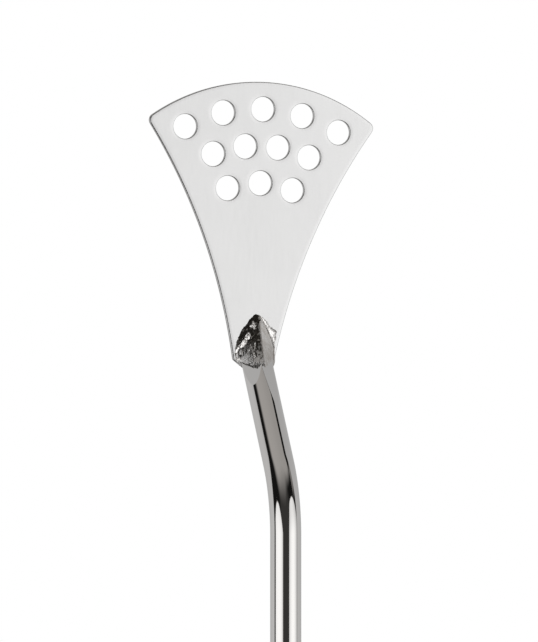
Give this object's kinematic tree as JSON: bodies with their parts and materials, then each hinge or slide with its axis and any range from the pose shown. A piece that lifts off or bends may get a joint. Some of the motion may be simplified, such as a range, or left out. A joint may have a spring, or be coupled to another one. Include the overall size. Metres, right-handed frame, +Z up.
{
  "type": "perforated hand masher",
  "caption": "One-handed potato blade: a fan-shaped perforated steel plate welded to a cranked round bar handle.",
  "frame": {"origin": "on the ground, under the middle of the tool's bounding box, with the tool lying at rest on its handle's end and the blade's lower edge", "axes": "+Y along the tool towards the blade's fan edge, +X across the blade, +Z up, out of the side that the bar is welded to"},
  "size_m": [0.0778, 0.3046, 0.0302],
  "materials": {
    "blade_steel": "fine satin polish, edges rounded and bright",
    "bar_steel": "mirror-polished stainless bar",
    "weld_metal": "weld bead, rough as laid on the left, partly ground"
  },
  "bodies": {
    "root": {"blade": "blade_steel", "handle_rod": "bar_steel", "weld_toe": "weld_metal", "weld_left": "weld_metal", "weld_right": "weld_metal", "weld_heel": "weld_metal"}
  },
  "joints": []
}
